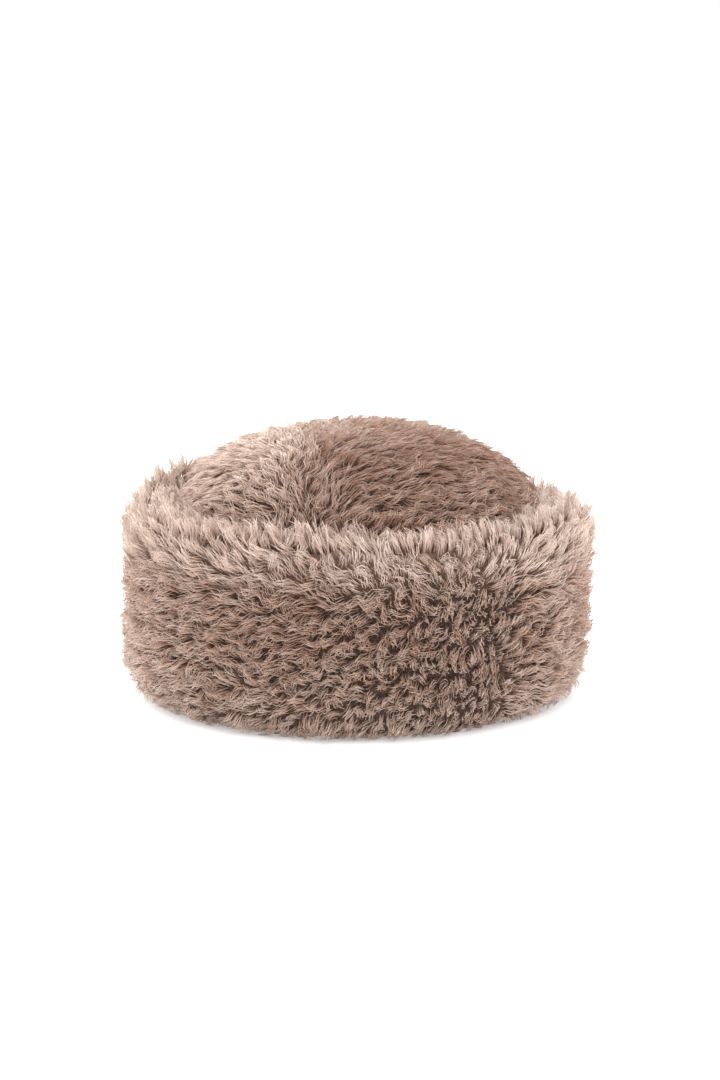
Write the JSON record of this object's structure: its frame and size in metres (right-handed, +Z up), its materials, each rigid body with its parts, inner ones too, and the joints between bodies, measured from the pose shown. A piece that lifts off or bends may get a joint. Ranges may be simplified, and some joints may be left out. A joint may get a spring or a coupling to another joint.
{
  "type": "round fur hat with a turned-up cuff",
  "caption": "Round brimless fur hat: a domed crown of short curly pile set in a high, thick turned-up cuff, open underneath for the head.",
  "frame": {"origin": "middle of the ring of cuff that the hat rests on, at the level of the table", "axes": "+Z up through the crown, -Y towards the front of the hat, +X towards the wearer's left"},
  "size_m": [0.2502, 0.2649, 0.1425],
  "materials": {
    "crown_fur": "short dense wavy pile in flat-lying locks, taupe brown with paler tips, matt with a soft sheen",
    "cuff_fur": "short dense wavy pile in standing and slanting locks, taupe brown with pale pinkish tips, matt with a soft sheen"
  },
  "bodies": {
    "root": {"crown": "crown_fur", "cuff": "cuff_fur"}
  },
  "joints": []
}
